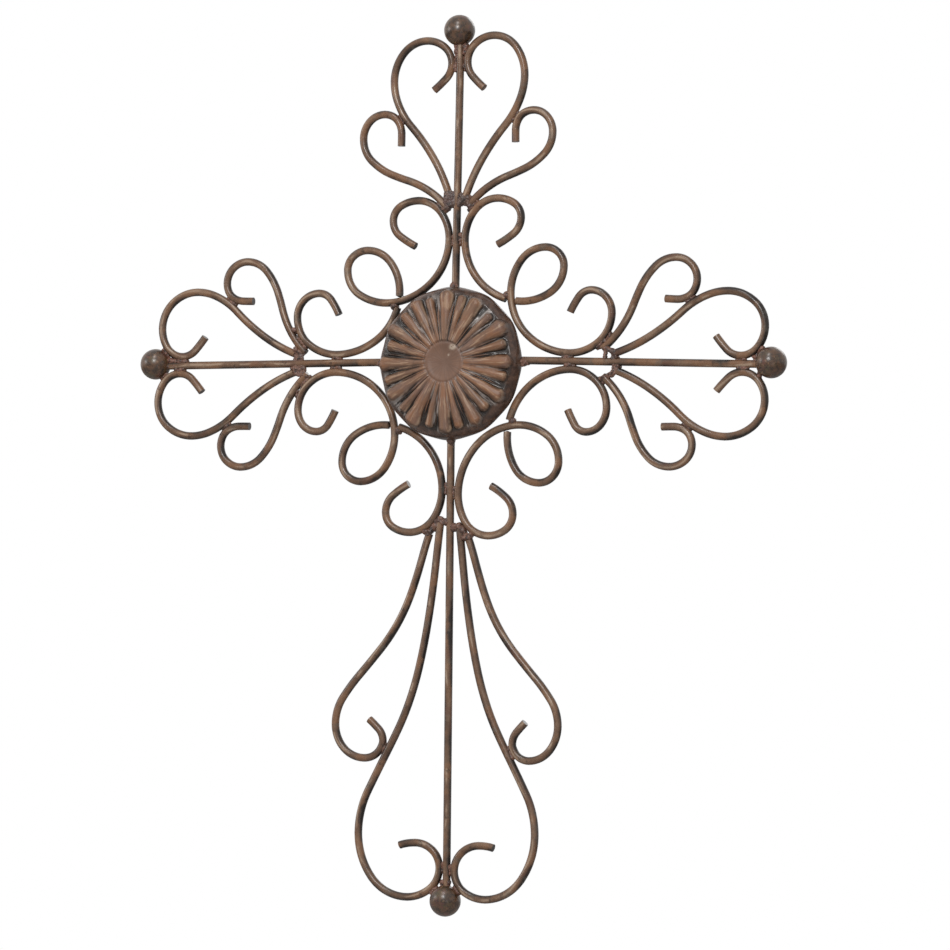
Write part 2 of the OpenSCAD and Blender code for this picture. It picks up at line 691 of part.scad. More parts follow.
module upper_rod() rod(TOP, bar_back);
module lower_rod() rod(FOOT, stand);
module left_rod() rod(LEFT, meet);
module right_rod() rod(RIGHT, meet);
module ball_top() end_ball(TOP);
module ball_left() end_ball(LEFT);
module ball_right() end_ball(RIGHT);
module ball_foot() end_ball(FOOT);
module top_scroll_left() arm_scroll(TOP_SCROLL_L, TOP_SPRIG_L);
module top_scroll_right() arm_scroll(TOP_SCROLL_R, TOP_SPRIG_R);
module top_sprig_left() scroll(TOP_SPRIG_L);
module top_sprig_right() scroll(TOP_SPRIG_R);
module left_scroll_upper() arm_scroll(LEFT_SCROLL_U, LEFT_SPRIG_U);
module left_scroll_lower() arm_scroll(LEFT_SCROLL_L, LEFT_SPRIG_L);
module left_sprig_upper() scroll(LEFT_SPRIG_U);
module left_sprig_lower() scroll(LEFT_SPRIG_L);
module right_scroll_upper() arm_scroll(RIGHT_SCROLL_U, RIGHT_SPRIG_U);
module right_scroll_lower() arm_scroll(RIGHT_SCROLL_L, RIGHT_SPRIG_L);
module right_sprig_upper() scroll(RIGHT_SPRIG_U);
module right_sprig_lower() scroll(RIGHT_SPRIG_L);
module foot_scroll_left() arm_scroll(FOOT_SCROLL_L, FOOT_SPRIG_L);
module foot_scroll_right() arm_scroll(FOOT_SCROLL_R, FOOT_SPRIG_R);
module foot_sprig_left() scroll(FOOT_SPRIG_L);
module foot_sprig_right() scroll(FOOT_SPRIG_R);
module loop_upper_left() scroll(loop_of(UPPER_LEFT));
module loop_upper_right() scroll(loop_of(backwards(UPPER_RIGHT)));
module loop_lower_left() scroll(loop_of(backwards(LOWER_LEFT)));
module loop_lower_right() scroll(loop_of(LOWER_RIGHT));
module hook_upper_left() scroll(hook_of(UPPER_LEFT));
module hook_upper_right() scroll(hook_of(backwards(UPPER_RIGHT)));
module hook_lower_left() scroll(hook_of(backwards(LOWER_LEFT)));
module hook_lower_right() scroll(hook_of(LOWER_RIGHT));

upper_rod();
lower_rod();
left_rod();
right_rod();
ball_top();
ball_left();
ball_right();
ball_foot();
top_scroll_left();
top_scroll_right();
top_sprig_left();
top_sprig_right();
left_scroll_upper();
left_scroll_lower();
left_sprig_upper();
left_sprig_lower();
right_scroll_upper();
right_scroll_lower();
right_sprig_upper();
right_sprig_lower();
foot_scroll_left();
foot_scroll_right();
foot_sprig_left();
foot_sprig_right();
loop_upper_left();
loop_upper_right();
loop_lower_left();
loop_lower_right();
hook_upper_left();
hook_upper_right();
hook_lower_left();
hook_lower_right();
rosette();
hanging_tab();
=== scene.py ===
import bpy
import math
import numpy as np
from mathutils import Matrix, Vector, noise
from mathutils.bvhtree import BVHTree


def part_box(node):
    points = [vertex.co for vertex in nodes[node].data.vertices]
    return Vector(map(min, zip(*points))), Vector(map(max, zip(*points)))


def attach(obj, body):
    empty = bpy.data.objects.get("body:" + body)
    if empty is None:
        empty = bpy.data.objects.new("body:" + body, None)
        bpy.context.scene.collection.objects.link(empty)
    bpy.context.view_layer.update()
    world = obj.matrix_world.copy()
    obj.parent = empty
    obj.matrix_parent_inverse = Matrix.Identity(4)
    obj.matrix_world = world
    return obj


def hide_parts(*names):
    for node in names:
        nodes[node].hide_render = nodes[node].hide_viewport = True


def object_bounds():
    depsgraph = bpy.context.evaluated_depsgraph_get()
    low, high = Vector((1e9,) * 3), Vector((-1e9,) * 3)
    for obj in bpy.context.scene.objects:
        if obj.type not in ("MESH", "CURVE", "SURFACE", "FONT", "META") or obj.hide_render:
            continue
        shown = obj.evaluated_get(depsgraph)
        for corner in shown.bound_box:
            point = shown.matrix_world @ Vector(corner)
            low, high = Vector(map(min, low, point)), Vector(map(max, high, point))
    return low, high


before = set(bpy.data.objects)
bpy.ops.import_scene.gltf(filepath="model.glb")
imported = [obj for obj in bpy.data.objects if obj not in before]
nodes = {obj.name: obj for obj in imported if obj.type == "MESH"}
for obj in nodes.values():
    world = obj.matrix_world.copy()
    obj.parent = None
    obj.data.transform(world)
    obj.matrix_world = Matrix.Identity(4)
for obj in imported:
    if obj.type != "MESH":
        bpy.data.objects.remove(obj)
cad_lo, cad_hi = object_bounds()
middle = (cad_lo + cad_hi) / 2
MM = 0.001


def add_object(name, data):
    """A new object in the scene."""
    obj = bpy.data.objects.new(name, data)
    bpy.context.scene.collection.objects.link(obj)
    return obj


# ---- Camera: a little to the right of the cross and below its middle, slightly rolled ----
# Distance in m, lens and sensor in mm; the aim is AIM_X and AIM_Z off the middle, at depth AIM_Y
AZIMUTH, ELEVATION, ROLL = math.radians(24.033), math.radians(-3.866), math.radians(1.2)
DISTANCE, LENS, SENSOR = 4.1746, 247.87, 36
AIM_X, AIM_Y, AIM_Z = 0.0142, -0.0077, -0.0074
aim = Vector((middle.x + AIM_X, AIM_Y, middle.z + AIM_Z))
back = Vector((math.sin(AZIMUTH) * math.cos(ELEVATION),
               -math.cos(AZIMUTH) * math.cos(ELEVATION), math.sin(ELEVATION)))
level = Vector((math.cos(AZIMUTH), math.sin(AZIMUTH), 0))
above = back.cross(level)
right = level * math.cos(ROLL) + above * math.sin(ROLL)
up = above * math.cos(ROLL) - level * math.sin(ROLL)
camera = add_object("camera", bpy.data.cameras.new("camera"))
camera.data.lens, camera.data.sensor_width = LENS, SENSOR
turn = Matrix((right, up, back)).transposed().to_4x4()
camera.matrix_world = Matrix.Translation(aim + back * DISTANCE) @ turn
camera.data.clip_start, camera.data.clip_end = 0.1, 100
bpy.context.scene.camera = camera


# ---- Small helpers for node materials ----
def linear(c):
    """A linear colour value from an sRGB one, both 0 to 1."""
    return c / 12.92 if c <= 0.04045 else ((c + 0.055) / 1.055) ** 2.4


def srgb(r, g, b):
    """A shader colour from sRGB values of 0 to 255."""
    return (linear(r / 255), linear(g / 255), linear(b / 255), 1)


class Paint:
    """A material with one Principled shader, and short calls that add nodes to it."""

    def __init__(self, name):
        self.mat = bpy.data.materials.new(name)
        self.mat.use_nodes = True
        self.tree = self.mat.node_tree
        self.shader = next(n for n in self.tree.nodes if n.type == "BSDF_PRINCIPLED")
        self.coords = self.node("ShaderNodeTexCoord").outputs["Object"]
        self.normal = self.node("ShaderNodeNewGeometry").outputs["Normal"]

    def node(self, kind, **settings):
        """A new node of this kind."""
        n = self.tree.nodes.new(kind)
        for k, v in settings.items():
            setattr(n, k, v)
        return n

    def put(self, socket, value):
        """Links another node's output to the socket, or sets the socket to a value."""
        if isinstance(value, bpy.types.NodeSocket):
            self.tree.links.new(value, socket)
        else:
            socket.default_value = value

    def math(self, op, a, b):
        n = self.node("ShaderNodeMath", operation=op)
        self.put(n.inputs[0], a)
        self.put(n.inputs[1], b)
        return n.outputs[0]

    def plus(self, a, b):
        return self.math("ADD", a, b)

    def times(self, a, b):
        return self.math("MULTIPLY", a, b)

    def inverse(self, mask):
        """What a mask leaves out."""
        return self.math("SUBTRACT", 1.0, mask)

    def swing(self, value, width):
        """A noise of 0 to 1 put around 0, and width times as wide."""
        return self.times(self.math("SUBTRACT", value, 0.5), width)

    def vector(self, op, *values):
        n = self.node("ShaderNodeVectorMath", operation=op)
        for socket, value in zip(n.inputs, values):
            self.put(socket, value)
        return n

    def texture(self, coords, shift, scale, detail, rough=0.5):
        """A noise texture on these coordinates, moved by shift."""
        place = self.node("ShaderNodeMapping")
        self.put(place.inputs["Vector"], coords)
        place.inputs["Location"].default_value = shift
        n = self.node("ShaderNodeTexNoise")
        self.put(n.inputs["Vector"], place.outputs[0])
        n.inputs["Scale"].default_value = scale
        n.inputs["Detail"].default_value = detail
        n.inputs["Roughness"].default_value = rough
        return n

    def noise(self, size_mm, detail, rough, shift):
        """Noise whose features are about size_mm across; 0 to 1."""
        place = (shift, shift * 0.7, -shift)
        return self.texture(self.coords, place, 1 / (size_mm * MM), detail, rough).outputs["Fac"]

    def step(self, value, low, high):
        """0 below low, 1 above high, smooth between."""
        n = self.node("ShaderNodeMapRange", interpolation_type="SMOOTHSTEP")
        self.put(n.inputs["Value"], value)
        n.inputs["From Min"].default_value = low
        n.inputs["From Max"].default_value = high
        return n.outputs["Result"]

    def mix(self, share, a, b):
        """Colour a where share is 0, colour b where it is 1."""
        n = self.node("ShaderNodeMix", data_type="RGBA", clamp_factor=True)
        self.put(n.inputs["Factor"], share)
        self.put(n.inputs["A"], a)
        self.put(n.inputs["B"], b)
        return n.outputs["Result"]

    def coat(self, colour, mask, strength, paint):
        """The colour with a coat of paint over it where the mask is."""
        return self.mix(self.times(mask, strength), colour, paint)

    def facing(self, direction):
        """How far the surface faces a direction of the part, -1 to 1."""
        return self.vector("DOT_PRODUCT", self.normal, direction).outputs["Value"]

    def value(self, name, output="Fac"):
        """A value that the mesh carries in an attribute."""
        return self.node("ShaderNodeAttribute", attribute_name=name).outputs[output]

    def bump(self, heights):
        """Chain of bumps, each (value, depth in mm)."""
        normal = None
        for value, depth in heights:
            n = self.node("ShaderNodeBump")
            n.inputs["Distance"].default_value = depth * MM
            n.inputs["Strength"].default_value = 1
            self.put(n.inputs["Height"], value)
            if normal is not None:
                self.put(n.inputs["Normal"], normal)
            normal = n.outputs["Normal"]
        self.put(self.shader.inputs["Normal"], normal)

    def finish(self, colour, rough):
        self.put(self.shader.inputs["Base Color"], colour)
        self.put(self.shader.inputs["Roughness"], rough)
        return self.mat


# ---- Materials ----
WANDER_MM = 45


def bar_paint(name, shift):
    """Dark brown paint with ochre patches, painted lighter where the bar faces forward and painted
    darker at its sides, partly also rubbed paint; shift gives other patches.
    """
    p = Paint(name)
    # The side painted lighter, as painted light and partly as rubbed paint, faces forward and wanders
    # up and down along the bars; the sides turned away get painted shade
    wander = p.texture(p.coords, (shift, 0, shift), 1 / (WANDER_MM * MM), 1).outputs["Color"]
    off = p.vector("SUBTRACT", wander, (0.5, 0.5, 0.5)).outputs["Vector"]
    lean = p.vector("MULTIPLY_ADD", off, (4.0, 1.0, 4.0), (0, -1, 0)).outputs["Vector"]
    front_light_and_rub = p.facing(p.vector("NORMALIZE", lean).outputs["Vector"])
    cloud = p.noise(22, 2.0, 0.5, 3 + shift)
    mottle = p.noise(5, 4.0, 0.62, 7 + shift)
    fine = p.noise(1.2, 3.0, 0.6, 11 + shift)
    # Lighter towards the front and darker towards the sides, as painted light and shade, with noise on
    # top
    level = p.plus(front_light_and_rub, p.swing(mottle, 0.5))
    level = p.plus(level, p.swing(cloud, 1.3))
    colour = p.mix(p.step(level, 0.2, 0.95), srgb(36, 28, 23), srgb(108, 82, 64))
    # Ochre patches, a little stronger where the bar is lighter towards the front, so partly painted
    # light
    warm = p.plus(p.noise(15, 3.0, 0.55, 17 + shift), p.times(level, 0.1))
    colour = p.coat(colour, p.step(warm, 0.54, 0.72), 0.75, srgb(132, 96, 70))
    # Pale patches, most where the bar faces forward: partly pale paint, partly painted highlight
    pale_and_highlight = p.plus(p.times(level, 0.6), p.times(fine, 0.5))
    colour = p.coat(colour, p.step(pale_and_highlight, 0.74, 1.04), 0.5, srgb(150, 124, 102))
    # A thin painted highlight runs along the bar where it faces forward, and breaks off in places
    whole = p.step(p.noise(13, 2.0, 0.5, 61 + shift), 0.44, 0.56)
    highlight_line = p.times(p.step(front_light_and_rub, 0.93, 0.99), whole)
    colour = p.coat(colour, highlight_line, 0.75, srgb(170, 146, 124))
    grey = p.step(p.noise(10, 3.0, 0.6, 23 + shift), 0.56, 0.68)
    colour = p.coat(colour, grey, 0.4, srgb(98, 93, 84))
    black = p.step(p.noise(6, 4.0, 0.7, 31 + shift), 0.58, 0.7)
    colour = p.coat(colour, black, 0.65, srgb(38, 30, 26))
    red = p.step(p.noise(18, 2.0, 0.5, 41 + shift), 0.58, 0.72)
    colour = p.coat(colour, red, 0.4, srgb(98, 64, 53))
    p.shader.inputs["Specular IOR Level"].default_value = 0.35
    p.bump([(p.noise(9, 2.0, 0.5, 51), 0.16), (mottle, 0.06), (fine, 0.02)])
    rough = p.plus(p.times(mottle, 0.3), 0.12)
    return p.finish(colour, rough)


bar_paints = [bar_paint("bar_paint_%d" % i, 3.1 * i) for i in range(3)]


def ball_paint():
    """Dark bronze-brown paint with olive, plum and tan patches."""
    p = Paint("ball_paint")
    mottle = p.noise(3.5, 4.0, 0.62, 5)
    colour = p.mix(p.step(mottle, 0.38, 0.62), srgb(50, 34, 21), srgb(92, 64, 43))
    olive = p.step(p.noise(5, 3.0, 0.6, 9), 0.52, 0.62)
    colour = p.coat(colour, olive, 0.6, srgb(86, 72, 46))
    plum = p.step(p.noise(4.5, 3.0, 0.6, 13), 0.55, 0.66)
    colour = p.coat(colour, plum, 0.7, srgb(94, 56, 48))
    tan = p.step(p.noise(2.6, 3.0, 0.6, 19), 0.6, 0.7)
    colour = p.coat(colour, tan, 0.6, srgb(140, 108, 82))
    p.shader.inputs["Specular IOR Level"].default_value = 0.6
    p.bump([(p.noise(8, 2.0, 0.5, 3), 0.1), (p.noise(1.2, 3.0, 0.6, 21), 0.008)])
    return p.finish(colour, p.plus(p.times(mottle, 0.3), 0.16))


def weld_paint():
    """Pitted brown, red where the attribute is 1 and plum grey where it is 0."""
    p = Paint("weld_paint")
    tone = p.noise(6, 3.0, 0.6, 2)
    colour = p.mix(p.step(tone, 0.35, 0.65), srgb(66, 48, 40), srgb(120, 90, 72))
    plum = p.step(p.noise(11, 2.0, 0.5, 6), 0.5, 0.62)
    plum = p.times(plum, p.inverse(p.value("red")))
    colour = p.coat(colour, plum, 0.65, srgb(80, 62, 62))
    red = p.times(p.value("red"), p.step(tone, 0.25, 0.55))
    colour = p.coat(colour, red, 0.8, srgb(122, 80, 66))
    pits = p.step(p.noise(2.2, 3.0, 0.6, 8), 0.36, 0.5)
    colour = p.mix(pits, srgb(46, 34, 28), colour)
    p.bump([(p.noise(1.8, 3.0, 0.6, 8), 0.35), (p.noise(0.7, 2.0, 0.6, 15), 0.1)])
    return p.finish(colour, p.plus(p.times(tone, 0.35), 0.25))


def rosette_paint():
    """Rust brown on the petals, nearly black in the grooves, smooth on button and skirt."""
    p = Paint("rosette_paint")
    crown, button = p.value("crown"), p.value("button")
    skirt, edge = p.value("skirt"), p.value("edge")
    rays = p.value("rays", "Vector")

    def streak(size, shift):
        """Noise drawn out along the petals."""
        return p.texture(rays, (shift, shift, shift), 1 / size, 3).outputs["Fac"]

    cloud = p.noise(20, 2.0, 0.5, 3)
    mottle = p.noise(4, 4.0, 0.62, 7)
    fine = p.noise(1.1, 3.0, 0.6, 11)
    lines = streak(1.3, 0)
    # Painted shade on the flanks that face down and to the left
    shaded_flank = p.step(p.facing((-0.55, -0.35, -0.76)), 0.5, 0.8)
    level = p.plus(crown, p.swing(mottle, 0.6))
    level = p.plus(level, p.swing(lines, 0.9))
    colour = p.mix(p.step(level, 0.1, 0.95), srgb(50, 35, 28), srgb(120, 88, 67))
    warm = p.plus(p.times(cloud, 0.6), p.times(streak(3.0, 20), 0.4))
    colour = p.coat(colour, p.step(warm, 0.44, 0.58), 0.75, srgb(134, 91, 62))
    plum = p.plus(p.times(p.noise(14, 2.0, 0.5, 33), 0.6), p.times(streak(2.2, 40), 0.4))
    plum = p.step(plum, 0.5, 0.6)
    colour = p.coat(colour, plum, 0.5, srgb(110, 88, 80))
    # Pale streaks along the petals, a little more on their crowns: painted highlights
    pale_and_highlight = p.step(p.plus(lines, p.times(crown, 0.08)), 0.6, 0.72)
    colour = p.coat(colour, pale_and_highlight, 0.65, srgb(172, 142, 116))
    # Pale on the petals' raised edges: partly worn paint, partly painted highlight
    worn_and_highlit_edge = p.times(edge, p.step(p.noise(9, 2.0, 0.5, 61), 0.4, 0.6))
    colour = p.coat(colour, worn_and_highlit_edge, 0.8, srgb(170, 142, 118))
    # Painted shade on the flanks facing down and to the left
    colour = p.coat(colour, shaded_flank, 0.55, srgb(50, 37, 31))
    black = p.step(p.noise(7, 4.0, 0.7, 95), 0.56, 0.7)
    colour = p.coat(colour, black, 0.4, srgb(58, 44, 38))
    colour = p.coat(colour, button, 0.75, srgb(116, 86, 69))
    apron = p.mix(p.step(mottle, 0.36, 0.66), srgb(72, 52, 43), srgb(112, 82, 66))
    colour = p.coat(colour, skirt, 0.9, apron)
    groove = p.plus(p.math("MAXIMUM", crown, button), p.times(mottle, 0.2))
    groove = p.inverse(p.step(groove, 0.2, 0.62))
    groove = p.times(groove, p.inverse(p.times(skirt, 0.75)))
    colour = p.coat(colour, groove, 0.9, srgb(30, 25, 22))
    # Painted silver-grey glints in some of the grooves
    region = p.step(p.noise(24, 1.0, 0.5, 83), 0.42, 0.54)
    groove_glint = p.times(p.step(streak(2.0, 70), 0.5, 0.6), region)
    groove_glint = p.times(groove_glint, p.inverse(p.step(crown, 0.3, 0.7)))
    groove_glint = p.times(groove_glint, p.inverse(p.math("MAXIMUM", skirt, button)))
    colour = p.coat(colour, groove_glint, 0.8, srgb(158, 148, 142))
    # Painted highlight on the button's edge and in its dimple
    glint = p.times(p.value("glint"), p.step(p.noise(1.6, 3.0, 0.6, 91), 0.35, 0.5))
    colour = p.mix(glint, colour, srgb(182, 164, 146))
    p.shader.inputs["Specular IOR Level"].default_value = 0.45
    p.bump([(p.noise(6, 2.0, 0.5, 71), 0.2), (lines, 0.1), (mottle, 0.06), (fine, 0.03)])
    rough = p.plus(p.times(p.math("MAXIMUM", crown, button), 0.2), 0.18)
    rough = p.plus(rough, p.times(mottle, 0.16))
    return p.finish(colour, rough)


# ---- Meshes ----
def add_mesh(name, verts, faces, material):
    """A smooth-shaded piece of the part's one body."""
    mesh = bpy.data.meshes.new(name)
    mesh.from_pydata(verts, [], faces)
    mesh.validate()
    obj = add_object(name, mesh)
    mesh.materials.append(material)
    mesh.shade_smooth()
    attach(obj, "root")
    return obj


# ---- Rosette: one pressed sheet, 12 long petals with a short one after each. Sizes in mm ----
def smooth_step(x, a, b):
    """0 up to a, 1 from b on, smooth between."""
    t = np.clip((x - a) / (b - a), 0, 1)
    return t * t * (3 - 2 * t)


r_lo, r_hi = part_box("rosette")
ros_x, ros_z = (r_lo.x + r_hi.x) / 2 / MM, (r_lo.z + r_hi.z) / 2 / MM
rim_y = r_hi.y / MM
rim_r = (r_hi.x - r_lo.x) / 2 / MM
CROWN = (r_hi.y - r_lo.y) / MM
BUTTON_R, PAIRS, SHEET = 12.2, 12, 1.0
PITCH = 2 * math.pi / PAIRS
# Where a long and a short petal end, and their half widths as shares of the pitch
LONG_TIP, SHORT_TIP = 47.2, 44.2
LONG_HALF, SHORT_HALF = 0.242, 0.19
# Pleats of each groove: place between two petals, height share, where it ends, half width
PLEATS = ((0.5, 0.62, 41, 0.45), (0.425, 0.42, 33, 0.28), (0.575, 0.36, 30, 0.28))
# Dents in the button, the first one a dimple: place from the middle, radius, depth
DENTS = (((2.9, 4.6), 0.9, 0.5), ((-3.5, -2.0), 2.5, 0.15), ((4.5, -4.0), 3.0, 0.12))
# Rings of the mesh: from, to, count
FRONT_RINGS = ((0.4, BUTTON_R - 1.2, 10), (BUTTON_R - 0.9, BUTTON_R + 3, 12), (BUTTON_R + 3.6, 37, 24),
               (37.6, 47.5, 34), (47.8, rim_r, 8))
BACK_RINGS = ((0.4, 37, 26), (38, rim_r - 1.0, 22))
COLUMNS_PER_PETAL = 24


def turned(angle, at):
    """The way from one angle to another, -pi to pi."""
    return (angle - at + math.pi) % (2 * math.pi) - math.pi


def petal_shape(r, angle, i):
    """Height share of petal i, 0 to 1, and how near its rounded edge a place lies.

    The sines of i make each petal a little different, in the same way each run.
    """
    long = i % 2 == 0
    share = (r - BUTTON_R) / (rim_r - BUTTON_R)
    middle_at = i * PITCH / 2 + 0.018 * math.sin(i * 2.4) + 0.014 * math.sin(i * 5.1) * share
    across = turned(angle, middle_at) * r
    half = (LONG_HALF if long else SHORT_HALF) * (1 + 0.1 * math.sin(i * 3.7)) * PITCH * r
    half = half * (1 - 0.12 * np.clip(share, 0, 1) * (not long))
    half = half * (1 + 0.07 * np.sin(r * 0.35 + i * 1.3))
    tip = (LONG_TIP if long else SHORT_TIP) + 0.8 * math.sin(i * 1.9)
    # Rounded end: the width closes in a half circle near the tip
    inside = np.clip((tip - r) / (0.8 * half + 0.05), 0, 1)
    reach = np.sqrt((across / np.maximum(half, 0.05)) ** 2 + (1 - inside) ** 2)
    body = np.clip(1 - reach ** 2.3, 0, 1) ** 0.85
    # A shallow crease down each petal, off its middle, and a slightly raised edge
    crease = np.exp(-((across - 0.35 * half * math.sin(i * 2.9)) / 0.5) ** 2) * (inside > 0.9)
    body = body - (0.05 * crease + 0.04 * (1 - smooth_step(reach, 0.3, 0.65))) * smooth_step(r, 18, 32)
    edge = np.exp(-((reach - 0.78) / 0.13) ** 2) * smooth_step(r, 24, 40)
    shown = r < tip
    return np.where(shown, body, 0) * (1 if long else 0.86), np.where(shown, edge, 0)


def pleats(r, angle):
    """Thin ridges in the grooves between the petals, which fade outwards."""
    ridges = np.zeros_like(r)
    for i in range(2 * PAIRS):
        # They stand nearer to the short petals
        toward = 0.04 if i % 2 == 0 else -0.04
        for k, (place, height, until, width) in enumerate(PLEATS):
            height = height + 0.22 * math.sin(i * 4.1 + k * 2)
            until = until + 5 * math.sin(i * 2.2 + k)
            off = turned(angle, (i + place + toward) * PITCH / 2)
            ridge = np.exp(-((off * r) / width) ** 2)
            ridge = ridge * (1 - smooth_step(r, until - 9, until))
            ridges = np.maximum(ridges, height * ridge)
    return ridges


def rosette_height(r, angle):
    """Height over the rim plane in mm, with the shares of crown, button, skirt and petal edge."""
    share = np.clip((r - BUTTON_R) / (rim_r - BUTTON_R), 0, 1)
    crown = CROWN * (1 - 0.2 * (share - 0.33) ** 2) - 0.1
    depth = 0.5 + 4.9 * share ** 1.2
    skirt = CROWN * 0.93 * (1 - share ** 4.5) ** 0.62
    ground = np.minimum(crown - depth, skirt)
    petals, edges = np.zeros_like(r), np.zeros_like(r)
    for i in range(2 * PAIRS):
        body, edge = petal_shape(r, angle, i)
        petals, edges = np.maximum(petals, body), np.maximum(edges, edge)
    petals = np.maximum(petals, pleats(r, angle))
    start = smooth_step(r, BUTTON_R - 0.4, BUTTON_R + 2.4)
    height = ground + petals * np.maximum(crown - ground, 0)
    # The skirt is drawn into shallow scallops below the petals
    scallop = 0.5 + 0.5 * np.cos(angle * PAIRS)
    fade = 1 - smooth_step(r, 47.5, rim_r)
    height = height + (1 - petals) * 1.1 * scallop * smooth_step(r, 42, 46) * fade
    # The button is a shallow dish with a rounded lip and a few dents
    dish = CROWN * 0.93 - 1.1 * (1 - np.clip(r / BUTTON_R, 0, 1) ** 2.2)
    dish = dish + 0.12 * np.exp(-((r - BUTTON_R + 1.1) / 0.8) ** 2)
    dish = dish - 1.3 * smooth_step(r, BUTTON_R - 0.3, BUTTON_R + 2.0)
    for place, size, deep in DENTS:
        away = np.hypot(r * np.sin(angle) - place[0], r * np.cos(angle) - place[1])
        dish = dish - deep * np.exp(-(away / size) ** 2)
    height = dish * (1 - start) + height * start
    skirt_share = smooth_step(r, 43, 46.5) * (1 - petals)
    return np.minimum(height, CROWN), petals * start, 1 - start, skirt_share, edges


def ring_radii(stretches):
    """Radii of the rings in all stretches."""
    return np.concatenate([np.linspace(*stretch) for stretch in stretches])


def build_rosette():
    """The sheet's front and back as rings of points, joined at the rim and closed in the middle."""
    columns = 2 * PAIRS * COLUMNS_PER_PETAL
    front_r, back_r = ring_radii(FRONT_RINGS), ring_radii(BACK_RINGS)
    angles = np.arange(columns) * 2 * math.pi / columns
    verts, masks = [], []

    def rings(radii, below):
        """Adds the points of one side, which lies below the front by this much."""
        rr, aa = np.meshgrid(radii, angles, indexing="ij")
        h, crown, button, skirt, edge = rosette_height(rr, aa)
        h = np.maximum(h - below, 0 if below else -1)
        # The rim stands out a little at each long petal
        drawn_in = 0.012 * (0.5 - 0.5 * np.cos(aa * PAIRS)) * smooth_step(rr, 40, rim_r)
        drawn_in = drawn_in + 0.004 * (0.5 + 0.5 * np.sin(aa * 3 + 1)) * smooth_step(rr, 40, rim_r)
        x = ros_x + rr * (1 - drawn_in) * np.sin(aa)
        z = ros_z + rr * (1 - drawn_in) * np.cos(aa)
        verts.extend(zip(x.ravel() * MM, (rim_y - h.ravel()) * MM, z.ravel() * MM))
        # A painted highlight on the button's edge, and a tiny one in its dimple
        px, pz = rr * np.sin(aa), rr * np.cos(aa)
        dimple_x, dimple_z = DENTS[0][0]
        glint = np.exp(-((px - 6.0) ** 2 / 6 + (pz - 9.4) ** 2 / 3.5) ** 2)
        glint = np.maximum(glint, np.exp(-((px - dimple_x) ** 2 + (pz - dimple_z) ** 2) / 0.4))
        masks.extend(zip(crown.ravel(), button.ravel(), skirt.ravel(), edge.ravel(), glint.ravel()))

    rings(front_r, 0)
    rings(back_r, SHEET)
    h0 = rosette_height(np.array([0.0]), np.array([0.0]))[0][0]
    for below in (0, SHEET):
        verts.append((ros_x * MM, (rim_y - h0 + below) * MM, ros_z * MM))
        masks.append((0, 1, 0, 0, 0))
    nf, nb = len(front_r), len(back_r)
    b0, mid = nf * columns, (nf + nb) * columns
    faces = []
    for j in range(columns):
        n = (j + 1) % columns
        faces.append((mid, n, j))
        faces.append((mid + 1, b0 + j, b0 + n))
        for i in range(nf - 1):
            p, q = i * columns, (i + 1) * columns
            faces.append((p + j, p + n, q + n, q + j))
        for i in range(nb - 1):
            p, q = b0 + i * columns, b0 + (i + 1) * columns
            faces.append((p + n, p + j, q + j, q + n))
        p, q = (nf - 1) * columns, b0 + (nb - 1) * columns
        faces.append((p + j, p + n, q + n, q + j))
    obj = add_mesh("rosette_sheet", verts, faces, rosette_paint())
    for k, name in enumerate(("crown", "button", "skirt", "edge", "glint")):
        layer = obj.data.attributes.new(name, "FLOAT", "POINT")
        layer.data.foreach_set("value", [m[k] for m in masks])
    # Coordinates that hardly change from the middle outwards, for streaks along the petals
    rays = obj.data.attributes.new("rays", "FLOAT_VECTOR", "POINT")
    streaks = []
    for v in verts:
        dx, dz = v[0] / MM - ros_x, v[2] / MM - ros_z
        r = math.hypot(dx, dz)
        streaks += [30 * dx / max(r, 1), 30 * dz / max(r, 1), 0.12 * r]
    rays.data.foreach_set("vector", streaks)
    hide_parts("rosette")


build_rosette()

# ---- Weld beads: lumps where pieces stand beside each other. Places and sizes in mm ----
# A bead joins a bar to another bar or to a ball where their surfaces come this near
BAR_REACH, BALL_REACH = 1.3, 1.2
# Points this close together are one place, and those within PLACE_SLACK of its gap shape its bead
PLACE_SIZE, PLACE_SLACK = 9, 0.45
# Half length of a bar's bead: the least, and the most beside a rod and beside another bar
LEAST_HALF, ROD_HALF, BAR_HALF = 1.4, 2.6, 4.0
ROD_BEAD, BAR_BEAD = 1.9, 1.8
BALL_HALF, BALL_BEAD = 1.8, 2.1
# The lump around the joint of two bars that meet end to end
BUTT_RADIUS = 2.85
# Lumps in the cone of weld where a rod runs in behind the rosette's rim
CONE_LUMPS = 4
# Each lump's rows and columns, and how the lumps become one skin
LUMP_ROWS, LUMP_COLUMNS = 7, 10
VOXEL, SMOOTHINGS = 0.39, 4
# Arm, its rod, its two sides, and the radius of the lumps where its bars end
ARMS = (("top", "upper_rod", ("left", "right"), 2.3),
        ("left", "left_rod", ("upper", "lower"), 1.6),
        ("right", "right_rod", ("upper", "lower"), 1.7),
        ("foot", "lower_rod", ("left", "right"), 2.2))
# Ball, its rod, and its collar: radius of the lumps, length along the rod, then how far the
# collar begins from the ball's middle, from the rod's axis to each side, and in front of it
COLLARS = (("ball_top", "upper_rod", 2.2, 3.5, 10.4, 3.0, 0.4),
           ("ball_left", "left_rod", 2.4, 4.5, 9.4, 1.6, 0.3),
           ("ball_right", "right_rod", 2.2, 1.5, 9.4, 1.6, 0.3),
           ("ball_foot", "lower_rod", 2.2, 1.5, 9.4, 1.6, 0.3))
names = sorted(nodes)
trees, points = {}, {}
for n in names:
    mesh = nodes[n].data
    co = np.empty(len(mesh.vertices) * 3, np.float32)
    mesh.vertices.foreach_get("co", co)
    points[n] = co.reshape(-1, 3).astype(float)
    trees[n] = BVHTree.FromPolygons(points[n].tolist(), [tuple(f.vertices) for f in mesh.polygons])


